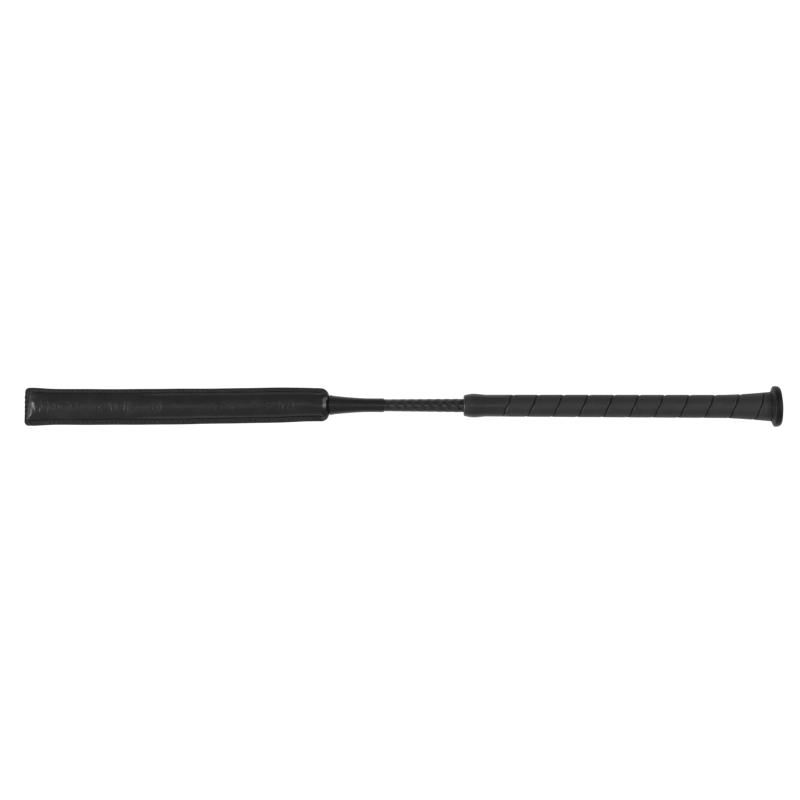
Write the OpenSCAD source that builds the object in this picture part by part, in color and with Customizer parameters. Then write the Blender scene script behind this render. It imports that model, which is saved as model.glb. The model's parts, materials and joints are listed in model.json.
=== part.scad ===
/* [Lengths along the shaft] */
// Padded end, from its tip to the neck
pad_length = 255; // [220:1:300]
// Part of the padded end past the rod's tip, which folds
flap_length = 105; // [70:1:130]
// Tapered boot over the neck
boot_length = 44; // [38:1:60]
// Bare braided shaft between boot and grip
exposed_length = 68.4; // [40:0.1:160]
// Grip, from its mouth to the cap
grip_length = 256.6; // [200:0.1:300]
// Mushroom cap, from the grip's end to the top of the dome
cap_height = 11; // [9.5:0.1:13]

/* [Grip] */
// Diameter just behind the mouth's bulge
grip_front_d = 18.1; // [17.2:0.1:20]
// Diameter where the end flare begins
grip_rear_d = 19.3; // [18.5:0.1:22]
// Diameter of the flare's end, under the cap
flare_d = 24.8; // [23:0.1:28]
// Length of the flare
flare_length = 42; // [25:1:60]
// How far the rolled mouth stands out
mouth_bulge = 0.8; // [0.2:0.1:1.5]
// Length of the rolled mouth
mouth_length = 20; // [14:1:28]
// Advance of the spiral groove in one turn
groove_pitch = 21.1; // [12:0.1:32]
// Depth of the spiral groove
groove_depth = 0.8; // [0.4:0.1:1.2]
// Width of the spiral groove at the surface
groove_width = 1.9; // [1:0.1:3]
// Smooth length between the mouth and the first turn
groove_margin = 31; // [24:1:60]

/* [End cap] */
// Diameter of the mushroom cap
cap_d = 34.1; // [32:0.1:40]
// Radius of the cap's rounded rim
rim_r = 3.4; // [2.6:0.1:3.6]

/* [Shaft] */
// Fibreglass rod in the handle
rod_d = 7; // [5:0.1:7.4]
// Fibreglass rod at its tip
rod_tip_d = 3.6; // [2.6:0.1:4.4]
// Braided shaft at the grip's mouth
braid_mouth_d = 11.1; // [10:0.1:11.4]
// Braided shaft at the boot
braid_boot_d = 9.8; // [9.2:0.1:10.4]
// Wall of the braid
braid_wall = 0.9; // [0.5:0.1:1.2]

/* [Padded end] */
// Width at the tip
pad_width = 29.7; // [26:0.1:40]
// Width at the neck
neck_width = 27.6; // [24.6:0.1:36]
// Thickness over the rod
pad_thickness = 16.6; // [14:0.1:20]
// Thickness past the rod
flap_thickness = 11.6; // [9:0.1:11.6]
// Width of the flat crown over the rod
crown_width = 9; // [4:0.5:12]
// Flat stitched border along each side
border_width = 3.4; // [2.6:0.1:4.6]
// Leather
leather = 1.5; // [1:0.1:1.8]
// Corner radius at the neck's shoulders
shoulder_r = 8; // [4:0.5:9]
// Corner radius at the tip
tip_r = 3.3; // [1:0.1:5]
// Flat stitched border across the tip
tip_border = 2.6; // [2.2:0.1:4]
// Distance from the tip to the full thickness of the flap
tip_slope = 8; // [6:0.5:12]
// Thickness of the stiff tongue in the flap
tongue = 2.2; // [1.6:0.1:2.6]
// Width of the tongue
tongue_width = 18; // [12:0.5:18.5]

/* [Stitching] */
// Distance from one stitch to the next
stitch_pitch = 4; // [3:0.5:8]
// Thread
thread_d = 0.7; // [0.5:0.1:0.9]

/* [Hidden] */
$fn = 72;

// The shaft lies along X and points its butt to +X. The cap's rim rests on z = 0.
overall_length = pad_length + boot_length + exposed_length + grip_length + cap_height;
butt_x = overall_length / 2;
cap_x = butt_x - cap_height;
mouth_x = cap_x - grip_length;
boot_x = mouth_x - exposed_length;
neck_x = boot_x - boot_length;
tip_x = neck_x - pad_length;
fold_x = tip_x + flap_length;
axis_z = cap_d / 2;

// Clearances
glue = 0.05;          // glue line between parts that are stuck together
hair = 0.01;          // keeps thread off the surface that it lies on
mouth_gap = 1.5;      // the braid stops short of the mouth, so that it can tilt there
fold_gap = 0.5;       // rolling joint between padded end and flap

// Shape of the grip
mouth_peak = 0.42;    // highest point of the rolled mouth, as a part of its length
mouth_lip = 0.6;      // the mouth's edge turns in by this much
flare_power = 1.55;
groove_run_out = 40;  // degrees over which each end of the spiral groove fades
groove_facets = 30;   // steps in one turn of the groove
groove_stop = 4;      // smooth length between the groove and the cap
groove_slant = 0.6;   // lean of the groove's walls, as a part of its half width

// Handle core, tape and the cap's plug
core_setback = 14;
core_front_r = 6.5;
core_rear_r = 7.3;
tape_wall = 0.25;
grip_mouth_r = 5.8;
plug_bore_r = 4.8;
plug_depth = 18;
plug_flange_r = 11;
plug_flange = 2.4;
plug_cover = 1.4;     // rubber between the plug's flange and the cap's underside
shoulder_step = 1.2;

// Bindings and neck
turn_step = 1.03;     // from one turn of thread to the next, in threads
upper_thread = 1.1;
upper_turns = 9;
upper_setback = 2;    // bindings start this far in from the edge of their seat
lower_thread = 0.8;
lower_turns = 8;
neck_thread = 0.6;
neck_setback = 1.5;
braid_tail = 15.6;    // braid hidden under the boot
filler_tail = 25.6;   // filler hidden under the boot
neck_root_r = 5.9;    // gathered leather at the padded end
neck_end_r = 4.9;     // gathered leather where the filler begins
neck_overlap = 1;     // the gathered leather starts this far inside the padded end

// Boot
boot_root_d = 15.5;
boot_front_d = 10.9;
boot_straight = 15.1; // front stretch of the boot that fits the shaft like a sleeve
boot_curve = 1.25;    // hollow of its tapered stretch

// Padded end
ferrule_length = 14;
ferrule_wall = 0.8;
rod_setback = 1.5;    // the rod ends this far inside its ferrule
tongue_root = 34;     // tongue beside the rod, behind the fold
crown_step = 9;       // degrees between the points of a padded side
seam_line = 0.45;     // place of the stitches on the border, from its edge
stitch_cover = 0.65;  // part of the stitch pitch that shows as thread
stitch_setback = 4;   // smooth length between the stitches and the fold

function mix(a, b, t) = a + (b - a) * t;
function rod_r(x) = mix(rod_d, rod_tip_d, min(1, max(0, (mouth_x - x) / (mouth_x - fold_x)))) / 2;
function braid_r(x) = mix(braid_mouth_d, braid_boot_d, (mouth_x - x) / exposed_length) / 2;
function filler_r(x) = braid_r(x) - braid_wall;
core_x = mouth_x + core_setback;
function core_r(x) = mix(core_front_r, core_rear_r, (x - core_x) / (cap_x - core_x));
filler_x = boot_x - filler_tail;
function neck_r(x) = mix(neck_root_r, neck_end_r, (x - neck_x) / (filler_x - neck_x));

// Grip: a straight taper, a rolled mouth in front and a flare behind
bulge_x = mouth_x + mouth_length * mouth_peak;
mouth_end_x = mouth_x + mouth_length;
flare_x = cap_x - flare_length;
function flare(x) = (flare_d - grip_rear_d) / 2 * pow(max(0, x - flare_x) / flare_length, flare_power);
function bulge(x) =
    x < bulge_x ? mix(-mouth_lip, mouth_bulge, sin(90 * (x - mouth_x) / (bulge_x - mouth_x)))
    : x < mouth_end_x ? mouth_bulge * (1 + cos(180 * (x - bulge_x) / (mouth_end_x - bulge_x))) / 2
    : 0;
function grip_r(x) =
    let (taper = (x - mouth_end_x) / (flare_x - mouth_end_x))
        mix(grip_front_d, grip_rear_d, min(1, max(0, taper))) / 2 + bulge(x) + flare(x);

// Turns flat shapes, drawn as [radius, x], about the shaft's axis
module spin()
    translate([0, 0, axis_z])
        rotate([0, 90, 0])
            rotate_extrude()
                children();

// Turns a closed outline of [x, radius] points about the shaft's axis
module turned(outline) spin() polygon([for (p = outline) [p[1], p[0]]]);

// A tube between two stretches, each given as a list of [x, radius]
module sleeve(outside, inside) turned(concat(outside, [for (i = [len(inside) - 1:-1:0]) inside[i]]));

// Turns of thread laid side by side on a round seat from x on
module thread_turns(x, turns, thread, seats) {
    for (i = [0:turns - 1])
        spin()
            translate([seats[i] + thread / 2 + hair, x + thread * (i + 0.5) * turn_step])
                circle(d = thread, $fn = 24);
}

// ---- Handle ----

module handle_core()
    color("dimgray")
        sleeve(
            [[core_x, core_r(core_x)], [cap_x, core_r(cap_x)]],
            [[core_x, rod_d / 2 + glue], [cap_x - plug_depth, rod_d / 2 + glue],
             [cap_x - plug_depth, plug_bore_r], [cap_x, plug_bore_r]]
        );

module grip_tape()
    color("gainsboro")
        sleeve(
            [[core_x, core_r(core_x) + tape_wall], [cap_x, core_r(cap_x) + tape_wall]],
            [[core_x, core_r(core_x)], [cap_x, core_r(cap_x)]]
        );

// Cutter for the spiral groove: a tapering strip wound round the grip
groove_from = mouth_x + groove_margin;
groove_turns = (cap_x - groove_stop - groove_from) / groove_pitch;
groove_steps = floor(groove_turns * groove_facets);
function groove_fade(a) = min(1, min(a, groove_turns * 360 - a) / groove_run_out + glue);
function groove_point(a, out, along) =
    let (x = groove_from + groove_pitch * a / 360 + along, r = grip_r(x) + out)
        [x, -r * cos(a), axis_z + r * sin(a)];
function groove_ring(a) =
    let (
        depth = groove_depth * groove_fade(a),
        top = groove_width / 2 * (1 + groove_slant),
        floor_half = groove_width / 2 * (1 - groove_slant)
    )
        [groove_point(a, 1, top), groove_point(a, 1, -top),
         groove_point(a, -depth, -floor_half), groove_point(a, -depth, floor_half)];

module spiral_groove() {
    rings = [for (i = [0:groove_steps]) groove_ring(groove_turns * 360 * i / groove_steps)];
    sides = [
        for (i = [0:groove_steps - 1], k = [0:3])
            let (a = i * 4 + k, b = i * 4 + (k + 1) % 4)
                each [[a, b, b + 4], [a, b + 4, a + 4]]
    ];
    last = groove_steps * 4;
    polyhedron(
        [for (ring = rings) each ring],
        concat([[3, 2, 1], [3, 1, 0]], sides, [[last, last + 1, last + 2], [last, last + 2, last + 3]])
    );
}

module rubber_grip() {
    mouth = [for (i = [0:20]) let (x = mix(mouth_x, mouth_end_x, i / 20)) [x, grip_r(x)]];
    rear = [for (i = [0:12]) let (x = mix(flare_x, cap_x, i / 12)) [x, grip_r(x)]];
    color([0.2, 0.2, 0.2])
        difference() {
            sleeve(
                concat(mouth, rear),
                [[mouth_x, grip_mouth_r], [core_x, grip_mouth_r],
                 [core_x, core_r(core_x) + tape_wall], [cap_x, core_r(cap_x) + tape_wall]]
            );
            spiral_groove();
        }
}

// ---- End cap ----

// The dome is the sphere through the butt that runs smoothly into the rim's rounding
rim_x = cap_x + shoulder_step + rim_r;
rim_seat = cap_d / 2 - rim_r;
dome_rise = butt_x - rim_x;
dome_r = (pow(rim_seat, 2) + pow(dome_rise, 2) - pow(rim_r, 2)) / (2 * (dome_rise - rim_r));

module end_cap() {
    meet_r = rim_seat * dome_r / (dome_r - rim_r);
    color([0.22, 0.21, 0.21])
        difference() {
            spin() {
                translate([0, cap_x]) square([flare_d / 2, shoulder_step + rim_r]);
                translate([0, cap_x + shoulder_step]) square([rim_seat, 2 * rim_r]);
                intersection() {
                    translate([rim_seat, rim_x]) circle(rim_r);
                    translate([0, cap_x]) square([cap_d, cap_height]);
                }
                intersection() {
                    translate([0, butt_x - dome_r]) circle(dome_r);
                    translate([0, rim_x]) square([meet_r, cap_height]);
                }
            }
            turned(plug_outline());
        }
}

function plug_outline() =
    let (flange_x = cap_x + shoulder_step + plug_cover, tip = cap_x - plug_depth + 1)
        [[tip, 0], [tip, plug_bore_r], [flange_x, plug_bore_r],
         [flange_x, plug_flange_r], [flange_x + plug_flange, plug_flange_r], [flange_x + plug_flange, 0]];

module cap_plug() color("slategray") turned(plug_outline());

module upper_braid_binding() {
    seat = grip_mouth_r - upper_thread - 4 * glue;
    color("black")
        thread_turns(mouth_x + upper_setback, upper_turns, upper_thread, [for (i = [1:upper_turns]) seat]);
}

// ---- Shaft ----

rod_end_x = fold_x + rod_setback;

module rod_space() {
    butt = cap_x - plug_depth - 1;
    turned([
        [rod_end_x, 0], [rod_end_x, rod_r(rod_end_x)], [mouth_x, rod_d / 2], [butt, rod_d / 2], [butt, 0]
    ]);
}

module shaft_rod() color("wheat") rod_space();

function ferrule_outline() =
    [[fold_x, 0], [fold_x, rod_r(fold_x) + ferrule_wall],
     [fold_x + ferrule_length, rod_r(fold_x) + ferrule_wall], [fold_x + ferrule_length, 0]];

module rod_tip_ferrule()
    color("goldenrod")
        difference() {
            turned(ferrule_outline());
            rod_space();
        }

module shaft_filler() {
    front = mouth_x - mouth_gap;
    color("lightgray")
        sleeve(
            [[filler_x, filler_r(filler_x)], [front, filler_r(front)]],
            [[filler_x, rod_r(filler_x)], [front, rod_r(front)]]
        );
}

module braided_cover() {
    front = mouth_x - mouth_gap;
    back = boot_x - braid_tail;
    color([0.13, 0.13, 0.14])
        sleeve(
            [[back, braid_r(back)], [front, braid_r(front)]],
            [[back, filler_r(back)], [front, filler_r(front)]]
        );
}

module lower_braid_binding() {
    back = boot_x - braid_tail - lower_turns * lower_thread * turn_step;
    color("black")
        thread_turns(
            back, lower_turns, lower_thread,
            [for (i = [1:lower_turns]) filler_r(back + i * lower_thread)]
        );
}

// ---- Neck ----

module neck_boot() {
    sleeve_x = boot_x - boot_straight;
    color([0.15, 0.15, 0.15])
        sleeve(
            [for (i = [0:8]) let (t = i / 8)
                [mix(neck_x, sleeve_x, t), mix(boot_root_d, boot_front_d, 1 - pow(1 - t, boot_curve)) / 2],
             each [[boot_x, boot_front_d / 2]]],
            [[neck_x, neck_root_r + neck_thread + glue], [filler_x, neck_end_r + neck_thread + glue],
             [filler_x, braid_r(filler_x)], [boot_x, braid_r(boot_x)]]
        );
}

neck_turns = floor((filler_x - neck_x - 2 * neck_setback) / (neck_thread * turn_step));

module neck_binding()
    color("black")
        thread_turns(
            neck_x + neck_setback, neck_turns, neck_thread,
            [for (i = [0:neck_turns - 1]) neck_r(neck_x + neck_setback + neck_thread * i * turn_step)]
        );

// ---- Padded end ----

seam_y = pad_width / 2 - border_width;

// Outline of one padded side above the middle plane, between the two seams
function crown(side_y, top, base) =
    let (flat = crown_width / 2)
        concat(
            [for (a = [180:-crown_step:90]) [-flat + (side_y - flat) * cos(a), base + (top - base) * sin(a)]],
            [for (a = [90:-crown_step:0]) [flat + (side_y - flat) * cos(a), base + (top - base) * sin(a)]]
        );

module outer_section(thickness)
    polygon(concat(
        [[-pad_width / 2, 0], [-pad_width / 2, leather]],
        crown(seam_y, thickness / 2, leather),
        [[pad_width / 2, leather], [pad_width / 2, 0]]
    ));

module inner_section(thickness) polygon(crown(seam_y - leather, thickness / 2 - leather, 0));

// Runs a cross-section of [y, z] along the shaft
module run(from_x, to_x)
    translate([from_x, 0, axis_z])
        rotate([90, 0, 90])
            linear_extrude(to_x - from_x)
                children();

// Outline of the padded end seen square to its face, or the same outline moved inwards
module plan(inset = 0) {
    tip = [tip_x + inset, pad_width / 2 - inset];
    neck = [neck_x - inset, neck_width / 2 - inset];
    translate([0, 0, axis_z - pad_thickness])
        linear_extrude(2 * pad_thickness)
            difference() {
                polygon([[tip[0], -tip[1]], [neck[0], -neck[1]], neck, tip]);
                for (side = [-1, 1]) {
                    corner(neck[0], side * neck[1], inset - shoulder_r, side * (inset - shoulder_r));
                    if (inset == 0) corner(tip[0], side * tip[1], tip_r, -side * tip_r);
                }
            }
}

// What a rounding removes at the corner [x, y], where the curve's centre is dx, dy away
module corner(x, y, dx, dy)
    difference() {
        translate([min(x, x + dx) - (dx > 0 ? 1 : 0), min(y, y + dy) - (dy > 0 ? 1 : 0)])
            square(abs(dx) + 1);
        translate([x + dx, y + dy]) circle(abs(dx));
    }

// Everything behind the fold, with its rounded end
module behind_fold(r)
    union() {
        translate([fold_x, -pad_width, axis_z - pad_thickness])
            cube([pad_length, 2 * pad_width, 2 * pad_thickness]);
        translate([fold_x, pad_width, axis_z]) rotate([90, 0, 0]) cylinder(r = r, h = 2 * pad_width);
    }

module tongue_space()
    translate([tip_x + tip_slope, -tongue_width / 2, axis_z - tongue / 2])
        cube([flap_length - tip_slope + tongue_root, tongue_width, tongue]);

// Turns a front piece over to make the back one
module back() translate([0, 0, 2 * axis_z]) mirror([0, 0, 1]) children();

// The space inside the leather
module pad_hollow()
    intersection() {
        run(fold_x - pad_thickness, neck_x) inner_section(pad_thickness);
        plan(leather);
    }

// Half of the cone of gathered leather that runs under the boot
module neck_leather() {
    root = neck_x - neck_overlap;
    intersection() {
        turned([[root, 0], [root, neck_r(root)], [filler_x, neck_end_r], [filler_x, 0]]);
        translate([root, -pad_width / 2, axis_z]) cube([boot_length, pad_width, pad_width]);
    }
}

module pad_leather()
    difference() {
        union() {
            intersection() {
                run(fold_x - pad_thickness, neck_x) outer_section(pad_thickness);
                plan();
                behind_fold(pad_thickness / 2);
            }
            neck_leather();
        }
        pad_hollow();
        rod_space();
    }

module pad_foam()
    difference() {
        intersection() {
            pad_hollow();
            behind_fold(pad_thickness / 2);
        }
        rod_space();
        turned(ferrule_outline());
        tongue_space();
    }

module pad_front_leather() color([0.17, 0.17, 0.18]) pad_leather();
module pad_back_leather() color([0.17, 0.17, 0.18]) back() pad_leather();
module pad_front_foam() color("lightyellow") pad_foam();
module pad_back_foam() color("lightyellow") back() pad_foam();

// ---- Flap ----

// A stretch of the flap that slopes down to its border at the tip; foot and head of the slope are [x, height]
module sloped(foot, head)
    intersection() {
        run(tip_x, fold_x) children();
        translate([0, pad_width, axis_z])
            rotate([90, 0, 0])
                linear_extrude(2 * pad_width)
                    polygon([[foot[0], 0], foot, head, [fold_x + 1, head[1]], [fold_x + 1, 0]]);
    }

module flap_outside()
    intersection() {
        union() {
            sloped([tip_x + tip_border, leather], [tip_x + tip_slope, flap_thickness / 2])
                outer_section(flap_thickness);
            translate([tip_x, -pad_width / 2, axis_z]) cube([tip_slope, pad_width, leather]);
        }
        plan();
    }

module flap_hollow() {
    half = flap_thickness / 2 - leather;
    sloped([tip_x + tip_border + leather / 2, hair], [tip_x + tip_slope + leather / 2, half])
        inner_section(flap_thickness);
}

module flap_leather()
    difference() {
        flap_outside();
        flap_hollow();
        behind_fold(pad_thickness / 2 + fold_gap);
    }

module flap_foam()
    difference() {
        flap_hollow();
        behind_fold(pad_thickness / 2 + fold_gap);
        tongue_space();
    }

module flap_front_leather() color([0.17, 0.17, 0.18]) flap_leather();
module flap_back_leather() color([0.17, 0.17, 0.18]) back() flap_leather();
module flap_front_foam() color("lightyellow") flap_foam();
module flap_back_foam() color("lightyellow") back() flap_foam();

module flap_tongue()
    color("saddlebrown")
        difference() {
            tongue_space();
            rod_space();
            turned(ferrule_outline());
        }

// ---- Stitching ----

tip_stitches = floor((pad_width / 2 - tip_r) / stitch_pitch) - 1;
stitch_y = neck_width / 2 - border_width * seam_line;

// One stitch lies on the border's face, from a point along x or across
module stitch(x, y, face, across = false)
    translate([x, y, axis_z + face * (leather + thread_d / 2 + hair)])
        rotate(across ? [90, 0, 0] : [0, 90, 0])
            cylinder(d = thread_d, h = stitch_pitch * stitch_cover, $fn = 16, center = true);

// Stitches on both faces of both side borders, between two places along the shaft
module edge_stitching(from_x, to_x)
    for (x = [from_x:stitch_pitch:to_x], side = [-1, 1], face = [-1, 1])
        stitch(x, side * stitch_y, face);

module pad_edge_stitching() color("black") edge_stitching(fold_x + stitch_setback, neck_x - shoulder_r);

module flap_edge_stitching()
    color("black") {
        edge_stitching(tip_x + tip_slope, fold_x - pad_thickness);
        for (i = [-tip_stitches:tip_stitches], face = [-1, 1])
            stitch(tip_x + tip_border / 2, i * stitch_pitch, face, true);
    }

handle_core();
grip_tape();
rubber_grip();
end_cap();
cap_plug();
upper_braid_binding();
shaft_rod();
rod_tip_ferrule();
shaft_filler();
braided_cover();
lower_braid_binding();
neck_boot();
neck_binding();
pad_front_leather();
pad_back_leather();
pad_front_foam();
pad_back_foam();
pad_edge_stitching();
flap_front_leather();
flap_back_leather();
flap_front_foam();
flap_back_foam();
flap_tongue();
flap_edge_stitching();
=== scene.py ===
"""Looks of the riding crop: pieces, materials, floor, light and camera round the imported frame.

Lengths are in millimetres, unless a name ends in _m. The crop lies along X, its tip at the low end
and its padded end's faces up and down.
"""

import json
import math
import random

import bmesh
import bpy
import numpy as np
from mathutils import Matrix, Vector


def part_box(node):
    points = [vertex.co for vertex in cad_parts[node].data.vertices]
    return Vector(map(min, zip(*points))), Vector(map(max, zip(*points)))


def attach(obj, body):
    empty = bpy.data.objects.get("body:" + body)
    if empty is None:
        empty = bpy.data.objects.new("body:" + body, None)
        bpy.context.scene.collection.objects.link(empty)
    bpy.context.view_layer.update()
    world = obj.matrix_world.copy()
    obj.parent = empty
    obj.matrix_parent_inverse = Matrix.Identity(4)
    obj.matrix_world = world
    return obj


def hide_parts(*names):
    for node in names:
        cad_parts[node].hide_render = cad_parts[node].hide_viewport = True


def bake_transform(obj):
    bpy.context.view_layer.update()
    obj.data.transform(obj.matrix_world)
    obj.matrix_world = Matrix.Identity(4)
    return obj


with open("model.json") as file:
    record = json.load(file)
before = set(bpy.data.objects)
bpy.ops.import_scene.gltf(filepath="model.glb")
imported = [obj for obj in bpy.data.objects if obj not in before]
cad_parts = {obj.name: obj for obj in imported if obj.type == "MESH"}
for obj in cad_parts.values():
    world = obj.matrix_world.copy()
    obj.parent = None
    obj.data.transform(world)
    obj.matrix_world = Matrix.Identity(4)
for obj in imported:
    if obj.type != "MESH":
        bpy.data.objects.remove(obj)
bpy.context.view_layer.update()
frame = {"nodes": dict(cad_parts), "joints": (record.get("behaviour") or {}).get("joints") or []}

MM = 0.001
TAU = 2 * math.pi


# ---- Places from the frame ----

joints = {joint["name"]: joint for joint in frame["joints"]}
mouth_x, _, axis_z = (value / MM for value in joints["shaft_flex"]["pos_m"])
fold_x = joints["flap_flex"]["pos_m"][0] / MM


def box(name):
    """Lowest and highest corner of a CAD node."""
    return [np.array(corner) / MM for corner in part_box(name)]


def span(name):
    """Where a CAD node starts and ends along the shaft."""
    low, high = box(name)
    return low[0], high[0]


def height_of(name):
    """How far a CAD node rises over the shaft's axis: the radius of a round one."""
    return box(name)[1][2] - axis_z


BRAID_PROUD = 0.2   # the braid's yarns stand this far out of the CAD's plain sleeve
BOOT_REACH = 1.75   # the boot's moulded edge goes this much further than the CAD's plain sleeve
TAPE_FRONT_R, TAPE_REAR_R = 6.75, 7.55   # outside of the tape that the grip is pushed over

cap_x = span("end_cap")[0]
flare_r = height_of("rubber_grip")
core_x = span("handle_core")[0]
neck_x, boot_x = span("neck_boot")
boot_x += BOOT_REACH
boot_root_r = height_of("neck_boot")
braid_back_x = span("braided_cover")[0]
braid_mouth_r = height_of("braided_cover") + BRAID_PROUD
filler_back_x = span("shaft_filler")[0]
rod_tip_x, rod_butt_x = span("shaft_rod")
rod_r = height_of("shaft_rod")
neck_end_x = span("pad_front_leather")[1]
pad_top = height_of("pad_front_leather")
tip_x = span("flap_front_leather")[0]
pad_half = box("flap_front_leather")[1][1]
flap_top = height_of("flap_front_leather")
tongue_tip_x, tongue_end_x = span("flap_tongue")
tongue_wide = box("flap_tongue")[1][1]
tongue_half = height_of("flap_tongue")


def mix(a, b, t):
    return a + (b - a) * t


def part(low, high, x):
    """0 at low, 1 at high, and straight between."""
    return np.clip((x - low) / (high - low), 0, 1)


def smooth(low, high, x):
    """0 below low, 1 above high, and a smooth step between."""
    t = part(low, high, x)
    return t * t * (3 - 2 * t)


# ---- Meshes ----

def add_object(name, data):
    made = bpy.data.objects.new(name, data)
    bpy.context.scene.collection.objects.link(made)
    return made


def add_mesh(name, points, faces, crease=40):
    """A closed, smooth-shaded mesh that keeps its rest place in millimetres for its material."""
    mesh = bpy.data.meshes.new(name)
    points = np.asarray(points, float).reshape(-1, 3)
    mesh.from_pydata((points * MM).tolist(), [], faces)
    shape = bmesh.new()
    shape.from_mesh(mesh)
    bmesh.ops.recalc_face_normals(shape, faces=shape.faces)
    shape.to_mesh(mesh)
    shape.free()
    rest = mesh.attributes.new("rest", "FLOAT_VECTOR", "POINT")
    rest.data.foreach_set("vector", points.astype(np.float32).ravel())
    mesh.shade_smooth()
    mesh.set_sharp_from_angle(angle=math.radians(crease))
    return add_object(name, mesh)


def add_values(piece, name, values):
    """A number for each point of a piece, for its material."""
    made = piece.data.attributes.new(name, "FLOAT", "POINT")
    made.data.foreach_set("value", np.asarray(values, np.float32).ravel())


def ring_faces(rings, around, closed=False):
    """Faces between rings that follow each other, each of so many points."""
    steps = rings if closed else rings - 1
    return [
        (a * around + k, a * around + (k + 1) % around,
         (a + 1) % rings * around + (k + 1) % around, (a + 1) % rings * around + k)
        for a in range(steps) for k in range(around)
    ]


def end_faces(rings, around):
    """Faces that close the first and the last ring."""
    last = (rings - 1) * around
    return [tuple(range(around)), tuple(range(last, last + around))]


def shifted(faces, base):
    """The faces with so much added to the numbers of their points."""
    return [tuple(base + i for i in face) for face in faces]


def grid_faces(rows, columns):
    """Squares of a grid of points that is numbered row by row."""
    corners = (i * columns + k for i in range(rows - 1) for k in range(columns - 1))
    return [(a, a + columns, a + columns + 1, a + 1) for a in corners]


def turn(outline, around, start=0.0):
    """Points of an outline of (x, radius) turned about the shaft's axis, ring by ring."""
    angles = start + TAU * np.arange(around) / around
    outline = np.asarray(outline, float)
    x = np.repeat(outline[:, 0], around)
    r = np.repeat(outline[:, 1], around)
    a = np.tile(angles, len(outline))
    return np.stack([x, -r * np.cos(a), axis_z + r * np.sin(a)], 1)


def finer(outline, step):
    """The outline with points added, so that none is further than step from the next along x."""
    made = [outline[0]]
    for (x0, r0), (x1, r1) in zip(outline, outline[1:]):
        count = max(1, math.ceil(abs(x1 - x0) / step))
        made += [(mix(x0, x1, i / count), mix(r0, r1, i / count)) for i in range(1, count + 1)]
    return made


def used_only(faces):
    """The numbers of the points that the faces use, and the faces renumbered to fit."""
    used = sorted({i for face in faces for i in face})
    renumber = {old: new for new, old in enumerate(used)}
    return used, [tuple(renumber[i] for i in face) for face in faces]


def tube_points(path, up, width, height, sides, taper):
    """Rings of an elliptic tube along a path, with so many smaller rings at each end.
    up is the normal of its flat side at each point."""
    path, up = np.asarray(path, float), np.asarray(up, float)
    along = np.gradient(path, axis=0)
    along /= np.linalg.norm(along, axis=1, keepdims=True)
    side = np.cross(along, up)
    side /= np.linalg.norm(side, axis=1, keepdims=True)
    top = np.cross(side, along)
    size = np.ones(len(path))
    for i in range(taper):
        size[i] = size[-1 - i] = math.sin(math.pi / 2 * (i + 0.5) / taper)
    a = TAU * np.arange(sides) / sides
    cosine, sine = np.cos(a)[None, :, None], np.sin(a)[None, :, None]
    ring = side[:, None] * cosine * width / 2 + top[:, None] * sine * height / 2
    return path[:, None] + ring * size[:, None, None]


def add_tubes(name, tubes, crease=60):
    """One piece made of several closed tubes, each an array of rings.
    It also holds how far along and round its tube each point is."""
    points, faces, along, across = [], [], [], []
    base = 0
    for rings in tubes:
        count, sides = rings.shape[:2]
        points.append(rings.reshape(-1, 3))
        faces += shifted(ring_faces(count, sides) + end_faces(count, sides), base)
        steps = np.linalg.norm(np.diff(rings.mean(1), axis=0), axis=1)
        along.append(np.repeat(np.concatenate([[0], np.cumsum(steps)]), sides))
        across.append(np.tile(np.arange(sides) / sides, count))
        base += count * sides
    piece = add_mesh(name, np.concatenate(points), faces, crease)
    add_values(piece, "along", np.concatenate(along))
    add_values(piece, "across", np.concatenate(across))
    return piece


WINDING_GAP, WINDING_POINTS = 1.02, 40   # thread widths from turn to turn, and points in a turn


def winding(name, cad_name, seat, thread):
    """Thread wound tightly along a CAD node's length, on a round seat whose radius is seat(x)."""
    from_x, to_x = span(cad_name)
    turns = (to_x - from_x - thread) / (thread * WINDING_GAP)
    a = np.linspace(0, TAU * turns, int(turns * WINDING_POINTS))
    x = mix(from_x + thread / 2, to_x - thread / 2, a / a[-1])
    out = np.stack([np.zeros_like(a), -np.cos(a), np.sin(a)], 1)
    middle = np.stack([x, np.zeros_like(a), np.full_like(a, axis_z)], 1)
    path = middle + out * (seat(x) + thread / 2)[:, None]
    return add_tubes(name, [tube_points(path, out, thread, thread, 8, taper=2)])


def slab(name, x, y, top, under, crease=40):
    """A closed sheet between two heights over the same grid of x and y."""
    z = np.concatenate([top.ravel(), under.ravel()]) + axis_z
    points = np.stack([np.tile(x.ravel(), 2), np.tile(y.ravel(), 2), z], 1)
    count, faces = x.size, []
    for a, b, c, d in grid_faces(*x.shape):
        faces += [(a, b, c, d), (count + a, count + d, count + c, count + b)]
    grid = np.arange(count).reshape(x.shape)
    rim = np.concatenate([grid[:, 0], grid[-1, 1:], grid[-2::-1, -1], grid[0, -2:0:-1]]).tolist()
    faces += [(a, b, count + b, count + a) for a, b in zip(rim, rim[1:] + rim[:1])]
    return add_mesh(name, points, faces, crease)


# ---- Material nodes ----

def node(tree, kind, inputs=(), **settings):
    """Adds a shader node. An input is a value or another node's output."""
    made = tree.nodes.new("ShaderNode" + kind)
    for key, value in settings.items():
        setattr(made, key, value)
    for key, value in dict(inputs).items():
        if isinstance(value, bpy.types.NodeSocket):
            tree.links.new(value, made.inputs[key])
        else:
            made.inputs[key].default_value = value
    return made


def start_material(name, **constants):
    """A Principled material. Constants go to the shader's own sockets, with _ for a space."""
    material = bpy.data.materials.new(name)
    material.use_nodes = True
    tree = material.node_tree
    shader = tree.nodes["Principled BSDF"]
    for key, value in constants.items():
        shader.inputs[key.replace("_", " ")].default_value = value
    return material, tree, shader


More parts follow.
